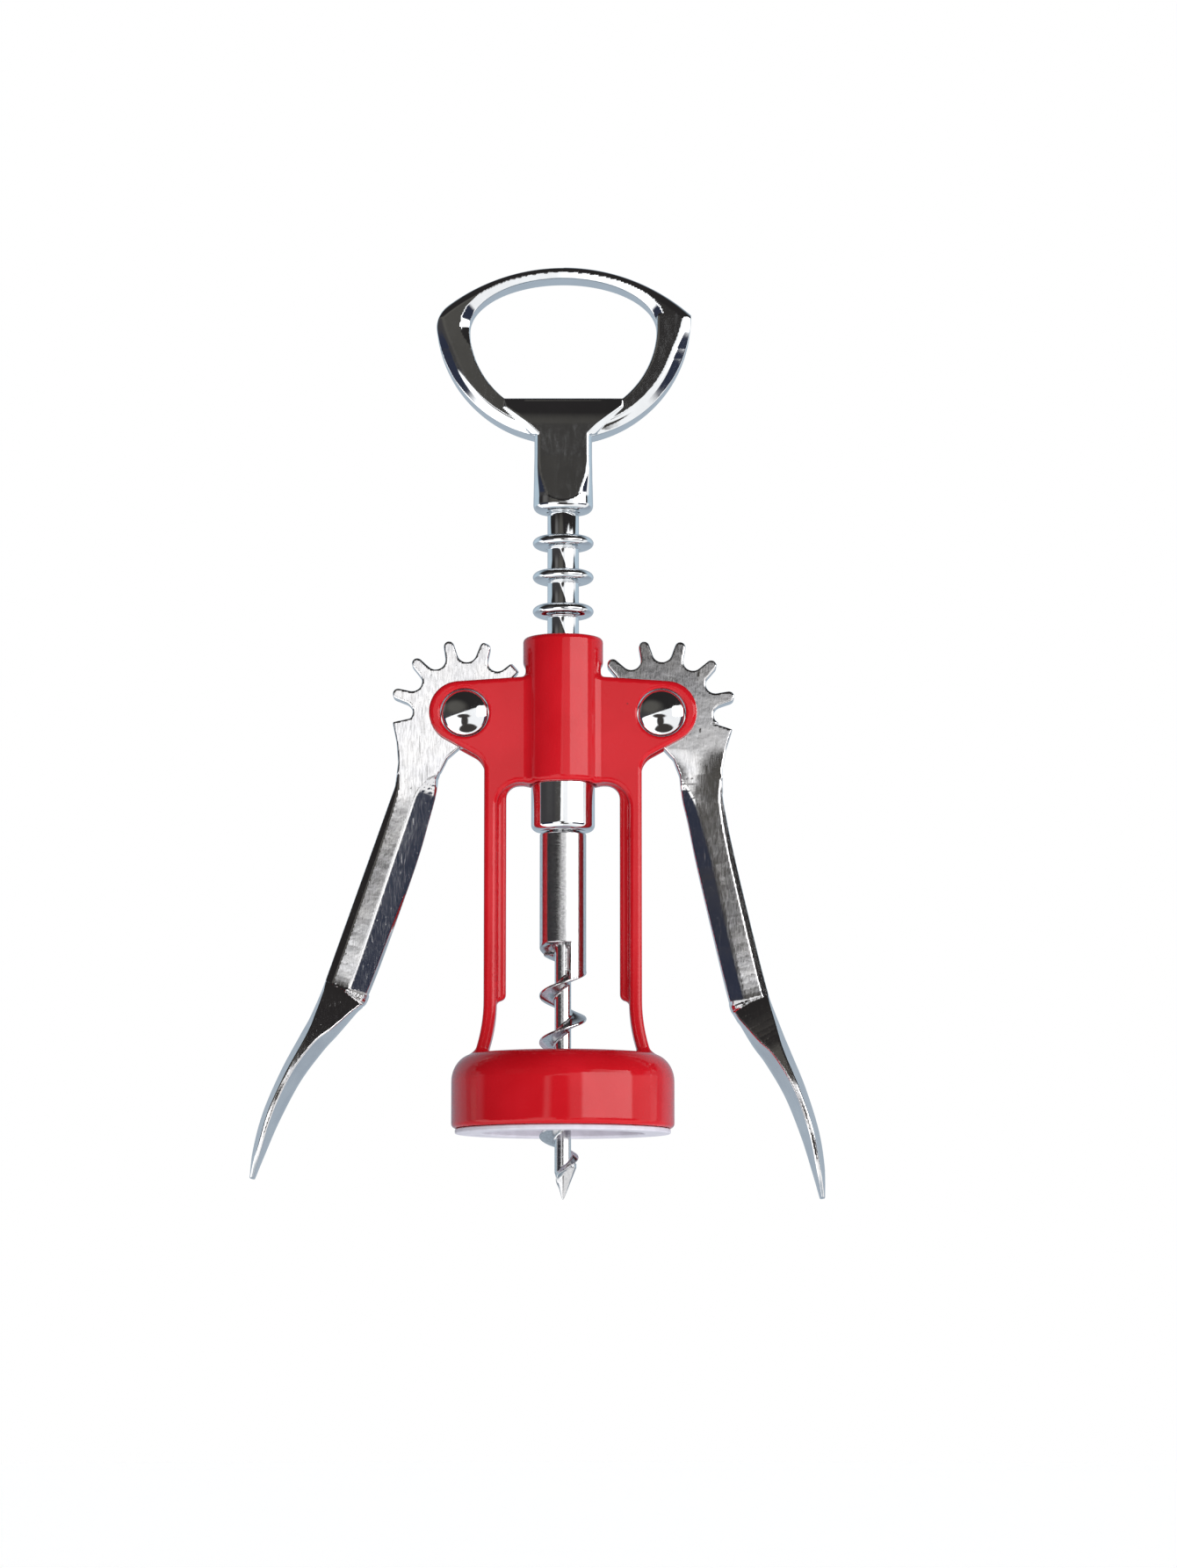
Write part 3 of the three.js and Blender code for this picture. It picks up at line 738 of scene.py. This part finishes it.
SHANK_RADIUS, SHANK_TOP = 4.4, 46.8
THREAD_RADIUS, THREAD_CORE, THREAD_PITCH, LEFT_CREST = 4.45, 1.55, 8.8, 16.03
THREAD_TIP, THREAD_END, TAPER_FROM, POINT_FROM, TAPER_POWER = -22.7, -22.25, -12, -17.2, 2.6


def shank_shape(around, turn, z):
    """The shank, whose lower end winds up into the thread over one turn."""
    from_start = ((turn - 291) % 360) / 360
    run_out = np.minimum(18.74 + THREAD_PITCH * from_start, 25.8)
    shank = rounded_overlap(around - SHANK_RADIUS, z - SHANK_TOP, 0.3)
    return rounded_overlap(shank, (run_out - z) * 0.93, 0.25)


def thread_shape(around, turn, z):
    """The core rod and the helical blade around it, both running to a point."""
    fade = np.clip((z - THREAD_TIP) / (TAPER_FROM - THREAD_TIP), 0, 1) ** TAPER_POWER
    core = THREAD_CORE * np.clip((z - THREAD_TIP) / (POINT_FROM - THREAD_TIP), 0.02, 1)
    reach = core + (THREAD_RADIUS - THREAD_CORE) * fade
    offset = z - LEFT_CREST - THREAD_PITCH * (turn - 180) / 360
    offset = (offset + THREAD_PITCH / 2) % THREAD_PITCH - THREAD_PITCH / 2
    outward = np.clip((around - core) / np.maximum(reach - core, 0.3), 0, 1)
    thick = (0.95 - 0.7 * outward) * (0.35 + 0.65 * fade)
    lead = THREAD_PITCH / (2 * math.pi * np.maximum(around, 1))
    blade = (np.abs(offset) - thick) / np.hypot(1, lead)
    blade = np.maximum(rounded_overlap(blade, around - reach, 0.14), z - 24)
    rod = np.maximum((around - core) * 0.97, z - 30)
    return rounded_union(rod, blade, 0.35)


def ground_point(x, y, z):
    """The point's last stretch, ground to an oval cone that leans to the right."""
    size = np.clip((z - THREAD_TIP) / 6.4, 0.02, 1)
    cone = np.hypot((x - 0.5 * size) / 2.05, y / 1.55) - size
    return rounded_overlap(cone * 1.5, z + 16.3 - 0.35 * x, 0.15)


def worm_field(x, y, z):
    """The whole worm, with the cross pin's hole through its tang."""
    around = np.hypot(x, y)
    turn = np.degrees(np.arctan2(y, x)) % 360
    screw = np.minimum(thread_shape(around, turn, z), ground_point(x, y, z))
    screw = np.maximum(screw, THREAD_END - z)
    journal = rounded_overlap(around - 3, np.abs(z - 51) - 5.4, 0.3)
    tang = rounded_overlap(around - 1.7, np.abs(z - 58) - 8.4, 0.3)
    whole = np.minimum(np.minimum(shank_shape(around, turn, z), screw), np.minimum(journal, tang))
    return np.maximum(whole, 0.95 - np.hypot(y, z - 60))


# Turned pieces.

def liner_profile():
    """The bell liner: a thin ring with a lip above at the bottle seat and a flange below, under the bell."""
    inner, flange, wall, lip = 15.25, 20.3, 17.7, 13
    corners = [
        (inner, -10), (flange, -10), (flange, -9.08), (wall, -9.08),
        (wall, 3.1), (lip, 3.1), (lip, 0), (inner, 0),
    ]
    return softened(corners, [0.4, 0.3, 0.25, 0.25, 0.4, 0.5, 0.5, 0.6])


def stem_profile():
    """The rack stem: a flange at the foot, a blind bore for the worm's tang, and seven rings."""
    first, pitch, count, half, tip, root = 62.95, 6.6, 7, 1.25, 5.8, 3
    fillet = 0.45
    profile = [(0, 67), *arc(1.6, 66.6, 0.4, 90, 0, 4), (2, 57.3), (4.3, 57.3)]
    profile += [*arc(4.25, 57.55, 0.25, -80, 0, 3), *arc(4.25, 58.55, 0.25, 0, 90, 3)]
    profile += [*arc(3.3, 59.1, 0.3, 270, 180, 3)]
    for n in range(count):
        z = first + n * pitch
        profile += [*arc(root + fillet, z - half - 0.2, fillet, 180, 95, 5)]
        profile += [(tip - half * 1.6 + half * 1.6 * u, z + half * v) for u, v in arc(0, 0, 1, -88, 88, 18)]
        profile += [*arc(root + fillet, z + half + 0.2, fillet, 265, 180, 5)]
    return profile + [(root, 119.5), (root - 0.4, 119.9), (0, 119.9)]


def collar_profile():
    """The collar: a plain sleeve with a rounded lower rim."""
    return [
        (3.35, 47.3),
        *arc(3.65, 47.4, 0.3, 190, 270, 3),
        *arc(4.73, 48.4, 1.3, -90, 0, 12),
        (6.03, 48.6),
        (6.03, 56.4),
        *arc(5.63, 56.6, 0.4, 0, 90, 6),
        *arc(3.65, 56.7, 0.3, 90, 180, 3),
    ]


def pivot_pin_profile():
    """A pin whose ends are low domes with a small rolled edge."""
    radius, edge, dome = 4.4, 0.3, 0.75
    straight = 3.05
    cap_radius = ((radius - edge) ** 2 + (dome - 0.1) ** 2) / (2 * (dome - 0.1))
    top = 3.3 + dome

    def end(sign):
        ring = [(radius - edge + edge * u, straight + edge * v) for u, v in arc(0, 0, 1, 0, 72, 5)]
        reach = math.degrees(math.asin((radius - edge) / cap_radius)) * 0.97
        cap = [(cap_radius * math.sin(math.radians(reach * (1 - k / 10))), 0) for k in range(10)]
        cap = [(r, top - cap_radius + math.sqrt(cap_radius ** 2 - r ** 2)) for r, _ in cap]
        return [(r, sign * h) for r, h in ring + cap + [(0, top)]]

    return list(reversed(end(-1))) + end(1)


def handle_pin_profile():
    """A straight pin with rounded ends."""
    radius, straight, corner = 1.1, 4.9, 0.3
    end = arc(radius - corner, straight, corner, 0, 90, 5)
    upper = [(radius, 3), *end, (0, straight + corner)]
    return [(r, -h) for r, h in reversed(upper)] + upper


# Materials, all procedural. Sizes inside them are in millimetres of object space.

class Graph:
    """A short way to write shader nodes: sockets and numbers go in, sockets come out."""

    def __init__(self, tree):
        self.tree = tree

    def put(self, socket, value):
        if isinstance(value, bpy.types.NodeSocket):
            self.tree.links.new(value, socket)
        elif value is not None:
            socket.default_value = value

    def node(self, kind, inputs=None, **settings):
        node = self.tree.nodes.new("ShaderNode" + kind)
        for key, value in settings.items():
            setattr(node, key, value)
        for key, value in (inputs or {}).items():
            self.put(node.inputs[key], value)
        return node

    def math(self, operation, a, b=None, c=None):
        node = self.node("Math", operation=operation)
        for socket, value in zip(node.inputs, (a, b, c)):
            self.put(socket, value)
        return node.outputs[0]

    def ramp(self, value, low, high, start=0.0, end=1.0):
        """Eases from start to end as value goes from low to high."""
        settings = {"Value": value, "From Min": low, "From Max": high, "To Min": start, "To Max": end}
        return self.node("MapRange", settings, interpolation_type="SMOOTHSTEP").outputs[0]

    def mix(self, share, a, b):
        """A blend of two colours."""
        node = self.node("Mix", data_type="RGBA")
        for socket, value in ((node.inputs[0], share), (node.inputs[6], a), (node.inputs[7], b)):
            self.put(socket, value)
        return node.outputs[2]

    def place(self, scale=(1, 1, 1), turn=(0, 0, 0)):
        """Object-space millimetres, stretched and turned."""
        coordinates = self.node("TexCoord").outputs["Object"]
        size = tuple(n / MM for n in scale)
        return self.node("Mapping", {"Vector": coordinates, "Rotation": turn, "Scale": size}).outputs[0]

    def noise(self, place, scale, detail=3.0, roughness=0.55):
        inputs = {"Vector": place, "Scale": scale, "Detail": detail, "Roughness": roughness}
        return self.node("TexNoise", inputs).outputs[0]

    def specks(self, place, scale, size):
        """One where a small dot is and nought elsewhere."""
        cells = self.node("TexVoronoi", {"Vector": place, "Scale": scale}).outputs["Distance"]
        return self.ramp(cells, size, size * 1.6, 1.0, 0.0)

    def times(self, a, b):
        return self.math("MULTIPLY", a, b)

    def minus(self, a, b):
        return self.math("SUBTRACT", a, b)

    def band(self, value, low, high, soft):
        """One between low and high and nought outside, with soft borders."""
        return self.times(
            self.ramp(value, low - soft, low + soft), self.ramp(value, high - soft, high + soft, 1.0, 0.0),
        )

    def bump(self, height, distance, strength=1.0, below=None):
        inputs = {"Height": height, "Distance": distance * MM, "Strength": strength, "Normal": below}
        return self.node("Bump", inputs).outputs[0]


def material(name):
    """A new material's graph, and a function that fills in its shader's sockets and returns the material."""
    made = bpy.data.materials.new(name)
    made.use_nodes = True
    made.node_tree.nodes.clear()
    graph = Graph(made.node_tree)
    shader = graph.node("BsdfPrincipled")
    output = graph.node("OutputMaterial")
    made.node_tree.links.new(shader.outputs[0], output.inputs[0])

    def finish(**values):
        for key, value in values.items():
            graph.put(shader.inputs[key.replace("_", " ")], value)
        return made

    return graph, finish


def enamel_material():
    """Glossy red enamel over a casting: a little orange peel, pooled darker tone and a few specks."""
    graph, finish = material("red_enamel")
    place = graph.place()
    tone = graph.noise(place, 0.09, 2)
    red = graph.mix(graph.ramp(tone, 0.3, 0.7), (0.60, 0.006, 0.013, 1), (0.66, 0.009, 0.018, 1))
    speck = graph.specks(place, 0.16, 0.022)
    red = graph.mix(graph.math("MULTIPLY", speck, 0.6), red, (0.16, 0.01, 0.012, 1))
    peel = graph.noise(place, 0.55, 2)
    grain = graph.noise(place, 5, 2)
    normal = graph.bump(peel, 0.05, 0.5, graph.bump(grain, 0.003, 0.35))
    rough = graph.ramp(graph.noise(place, 0.3, 3), 0.3, 0.7, 0.2, 0.3)
    return finish(
        Base_Color=red, Roughness=rough, Normal=normal, Specular_IOR_Level=0.05, Coat_Weight=0.55,
        Coat_Roughness=0.05, Coat_Normal=graph.bump(peel, 0.012, 0.3),
    )


def chrome_material(name, tint, rough_low, rough_high, wave):
    """Plated metal: mirror bright, with faint smudges and a slightly wavy casting beneath."""
    graph, finish = material(name)
    place = graph.place()
    smudge = graph.noise(place, 0.22, 4)
    colour = graph.mix(graph.ramp(smudge, 0.35, 0.7), tint, tuple(n * 0.93 for n in tint[:3]) + (1,))
    haze = graph.noise(graph.place((1, 1, 0.35), (0, 0.4, 0)), 1.1, 5, 0.65)
    rough = graph.ramp(haze, 0.35, 0.75, rough_low, rough_high)
    normal = graph.bump(graph.noise(place, 0.35, 2), wave, 0.6, graph.bump(haze, 0.004, 0.3))
    return finish(Base_Color=colour, Metallic=1.0, Roughness=rough, Normal=normal)


def nickel_material():
    """Nickel plate on a stamped and polished arm: fine polishing lines, scratches and pinholes."""
    graph, finish = material("nickel_plate")
    place = graph.place()
    lines = graph.noise(graph.place((1, 0.3, 0.12), (0, math.radians(28), 0)), 5, 4, 0.6)
    cloud = graph.noise(place, 0.18, 3)
    colour = graph.mix(graph.ramp(cloud, 0.35, 0.7), (0.86, 0.85, 0.85, 1), (0.76, 0.76, 0.78, 1))
    pit = graph.specks(place, 1.1, 0.05)
    colour = graph.mix(graph.math("MULTIPLY", pit, 0.5), colour, (0.25, 0.24, 0.24, 1))
    scratch = graph.noise(graph.place((1, 1, 0.05), (0, math.radians(-35), 0)), 3.2, 2, 0.4)
    scratch = graph.ramp(scratch, 0.68, 0.74)
    rough = graph.ramp(lines, 0.3, 0.75, 0.07, 0.15)
    rough = graph.math("ADD", rough, graph.math("MULTIPLY", scratch, 0.12))
    normal = graph.bump(lines, 0.008, 0.35, graph.bump(graph.noise(place, 0.5, 2), 0.015, 0.5))
    normal = graph.bump(pit, -0.02, 0.4, normal)
    return finish(Base_Color=colour, Metallic=1.0, Roughness=rough, Normal=normal)


def steel_material():
    """Ground steel: turning marks around the shank and a fine grain."""
    graph, finish = material("ground_steel")
    marks = graph.noise(graph.place((0.06, 0.06, 1)), 4, 3)
    grain = graph.noise(graph.place(), 2.2, 4)
    colour = graph.mix(graph.ramp(grain, 0.3, 0.75), (0.72, 0.72, 0.73, 1), (0.58, 0.58, 0.59, 1))
    rough = graph.ramp(marks, 0.3, 0.7, 0.1, 0.2)
    normal = graph.bump(marks, 0.006, 0.4, graph.bump(grain, 0.01, 0.3))
    return finish(Base_Color=colour, Metallic=1.0, Roughness=rough, Normal=normal)


def plastic_material():
    """Moulded pale plastic with a fine matt grain."""
    graph, finish = material("pale_plastic")
    place = graph.place()
    tone = graph.noise(place, 0.3, 3)
    colour = graph.mix(graph.ramp(tone, 0.3, 0.7), (0.80, 0.78, 0.88, 1), (0.70, 0.68, 0.77, 1))
    grain = graph.noise(place, 3.5, 3)
    rough = graph.ramp(grain, 0.3, 0.7, 0.42, 0.58)
    return finish(Base_Color=colour, Roughness=rough, Normal=graph.bump(grain, 0.01, 0.5))


# The studio around the object. Colours are linear; angles are in degrees.

BACKDROP = (1, 1, 1, 1)
ROOM_LOW, ROOM_HIGH = (0.055, 0.053, 0.055, 1), (0.024, 0.022, 0.022, 1)
WARM_AREA, GREY_AREA = (0.10, 0.095, 0.085, 1), (0.15, 0.145, 0.14, 1)
WALL_LOW, WALL_HIGH, WALL_BEHIND = (0.34, 0.39, 0.45, 1), (0.50, 0.62, 0.71, 1), (0.40, 0.47, 0.54, 1)
TABLE_LEFT, TABLE_RIGHT, TABLE_NEAR = (1.5, 1.5, 1.5, 1), (1.05, 1.05, 1.05, 1), (0.32, 0.40, 0.46, 1)
NAVY, FIGURE, SOFTBOX = (0.03, 0.036, 0.06, 1), (0.05, 0.045, 0.042, 1), (4.2, 4.2, 4.2, 1)


def mirrored_studio(graph, part):
    """What the metal mirrors: a white table below a sloping horizon, a dark room above it, pale walls behind,
    a navy area on both sides, a dark figure in front and a softbox on the right. Azimuth is nought in front
    of the object and grows to the right."""
    degree = 180 / math.pi
    forward = graph.times(part[1], -1.0)
    azimuth = graph.times(graph.math("ARCTAN2", part[0], forward), degree)
    height = graph.times(graph.math("ARCSINE", part[2]), degree)
    aside = graph.math("ABSOLUTE", azimuth)

    def blob(azimuth_at, wide, height_at, high, soft):
        """An oval area, one inside and nought outside."""
        across = graph.math("DIVIDE", graph.minus(azimuth, azimuth_at), wide)
        up = graph.math("DIVIDE", graph.minus(height, height_at), high)
        away = graph.math("SQRT", graph.math("ADD", graph.times(across, across), graph.times(up, up)))
        return graph.ramp(away, 1 - soft, 1 + soft, 1.0, 0.0)

    room = graph.mix(graph.ramp(height, 5, 14), ROOM_LOW, ROOM_HIGH)
    room = graph.mix(blob(-17, 17, 17, 10, 0.5), room, WARM_AREA)
    grey = graph.times(graph.band(azimuth, -62, -38, 8), graph.band(height, 9, 24, 4))
    room = graph.mix(grey, room, GREY_AREA)

    wall = graph.mix(graph.ramp(height, -16, -2), WALL_LOW, WALL_HIGH)
    wall = graph.mix(graph.ramp(aside, 130, 160), wall, WALL_BEHIND)
    behind = graph.ramp(graph.minus(aside, graph.ramp(height, 10, 20, 90, 110)), -5, 5)
    room = graph.mix(graph.times(behind, graph.ramp(height, 30, 60, 1.0, 0.0)), room, wall)

    horizon = graph.math("ADD", 9.3, graph.times(azimuth, 0.33))
    horizon = graph.math("MINIMUM", graph.math("MAXIMUM", horizon, -6.0), 22.0)
    below = graph.ramp(graph.minus(height, horizon), -0.8, 0.8, 1.0, 0.0)
    below = graph.times(below, graph.ramp(aside, 96, 112, 1.0, 0.0))
    far_right = graph.times(graph.ramp(azimuth, 42, 50), graph.ramp(height, 6, 10))
    below = graph.times(below, graph.minus(1.0, far_right))
    table = graph.mix(graph.ramp(azimuth, -3, 2), TABLE_LEFT, TABLE_RIGHT)
    table = graph.mix(graph.ramp(height, -75, -40), TABLE_NEAR, table)
    colour = graph.mix(below, room, table)

    navy = graph.times(graph.band(aside, 36, 84, 2.5), graph.band(height, -19, 1, 2))
    colour = graph.mix(navy, colour, NAVY)
    head, neck, foot = blob(-3, 11, 1.5, 3.5, 0.25), blob(-1, 6, -7, 11, 0.25), blob(6, 17, -21, 10, 0.12)
    figure = graph.math("MAXIMUM", graph.math("MAXIMUM", head, neck), foot)
    colour = graph.mix(figure, colour, FIGURE)

    top = graph.math("MINIMUM", graph.math("ADD", horizon, 1.0), 18.0)
    softbox = graph.times(graph.band(azimuth, 20, 76, 2), graph.ramp(height, 1, 3))
    softbox = graph.times(softbox, graph.ramp(graph.minus(height, top), -1.5, 1.5, 1.0, 0.0))
    return graph.mix(softbox, colour, SOFTBOX)


def soft_light(graph, part):
    """What lights matt surfaces: an even light that is stronger in front, on the right and from below."""
    soft = 0.62
    for direction, share in ((part[1], -0.5), (part[0], 0.38), (part[2], -0.6)):
        soft = graph.math("ADD", soft, graph.times(direction, share))
    soft = graph.math("MAXIMUM", soft, 0.04)
    return graph.node("CombineColor", {"Red": soft, "Green": soft, "Blue": soft}).outputs[0]


def studio_world():
    """A white backdrop for the camera, a soft light for matt surfaces and a painted studio for the metal."""
    world = bpy.data.worlds.new("studio")
    bpy.context.scene.world = world
    world.use_nodes = True
    world.node_tree.nodes.clear()
    graph = Graph(world.node_tree)
    direction = graph.node("TexCoord").outputs["Generated"]
    part = graph.node("SeparateXYZ", {"Vector": direction}).outputs
    path = graph.node("LightPath").outputs
    lit = graph.mix(path["Is Diffuse Ray"], mirrored_studio(graph, part), soft_light(graph, part))
    seen = graph.mix(path["Is Camera Ray"], lit, BACKDROP)
    background = graph.node("Background", {"Color": seen, "Strength": 1.0})
    output = graph.node("OutputWorld")
    world.node_tree.links.new(background.outputs[0], output.inputs[0])


def pale_floor():
    """A wide pale disc under the corkscrew, which hangs above it as if held in a bottle's neck."""
    segments, radius, level = 96, 2500, -130
    points = [(0, 0, level)]
    points += [(u, v, level) for u, v in arc(0, 0, radius, 0, 360 - 360 / segments, segments - 1)]
    faces = [(0, n + 1, (n + 1) % segments + 1) for n in range(segments)]
    floor = mesh_object("floor", points, faces)
    graph, finish = material("pale_floor")
    grain = graph.noise(graph.place(), 0.02, 3)
    tone = graph.mix(grain, (0.86, 0.86, 0.86, 1), (0.9, 0.9, 0.9, 1))
    floor.data.materials.append(finish(
        Base_Color=tone, Roughness=0.9, Emission_Color=(1, 1, 1, 1), Emission_Strength=0.72,
        Normal=graph.bump(grain, 0.1, 0.2),
    ))
    floor.visible_glossy = False
    floor.visible_diffuse = False


def front_camera():
    """The camera in front of the object, a little below the worm's point and tipped up."""
    camera = bpy.data.objects.new("camera", bpy.data.cameras.new("camera"))
    bpy.context.scene.collection.objects.link(camera)
    camera.location = (0.00483, -0.863, -0.0505)
    camera.rotation_euler = (math.radians(90 + 7.054), 0, 0)
    camera.data.lens = 105.26
    camera.data.sensor_width = 36
    camera.data.clip_start = 0.05
    camera.data.clip_end = 20
    bpy.context.scene.camera = camera


# The pieces.

ENAMEL = enamel_material()
CHROME = chrome_material("chrome_plate", (0.86, 0.88, 0.90, 1), 0.03, 0.09, 0.012)
NICKEL = nickel_material()
STEEL = steel_material()
PLASTIC = plastic_material()


def shown(piece, finish, body, node):
    """Gives a piece its material and its body, and hides the CAD node it stands for."""
    piece.data.materials.append(finish)
    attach(piece, body)
    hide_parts(node)
    return piece


def node_span(node, room=0.3):
    """The corners of a CAD node's box in millimetres, with some room around it."""
    low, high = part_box(node)
    return [n / MM - room for n in low], [n / MM + room for n in high]


casting = solid("enamelled_frame", frame_field(), *node_span("frame_casting"), 0.4)
shown(casting, ENAMEL, "frame", "frame_casting")
liner = lathe("liner_ring", liner_profile(), segments=160)
shown(liner, PLASTIC, "frame", "bell_liner")
for side, name in ((-1, "left"), (1, "right")):
    pin = lathe(f"{name}_pin", pivot_pin_profile(), "y", (side * PIVOT_X, 0, PIVOT_Z), 96)
    shown(pin, CHROME, "frame", f"{name}_pivot_pin")
    arm = solid(f"{name}_arm", lever_field(ARMS[name]), *node_span(f"{name}_lever"), 0.27)
    shown(arm, NICKEL, f"{name}_lever", f"{name}_lever")
collar = lathe("collar_ring", collar_profile(), segments=128)
shown(collar, CHROME, "collar", "guide_collar")
stem = lathe("ringed_stem", stem_profile(), segments=128)
shown(stem, CHROME, "spindle", "rack_stem")
opener = solid("opener_bow", opener_field(), *node_span("opener_handle"), 0.28)
shown(opener, CHROME, "spindle", "opener_handle")
cross_pin = lathe("handle_cross_pin", handle_pin_profile(), "x", (0, 0, HANDLE_PIN_Z), 48)
shown(cross_pin, STEEL, "spindle", "handle_pin")
screw = solid("auger", worm_field, *node_span("worm"), 0.2)
shown(screw, STEEL, "spindle", "worm")
hidden_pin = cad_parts["worm_pin"]
hidden_pin.data.materials.clear()
hidden_pin.data.materials.append(STEEL)

studio_world()
pale_floor()
front_camera()
bpy.context.scene.view_settings.view_transform = "Standard"
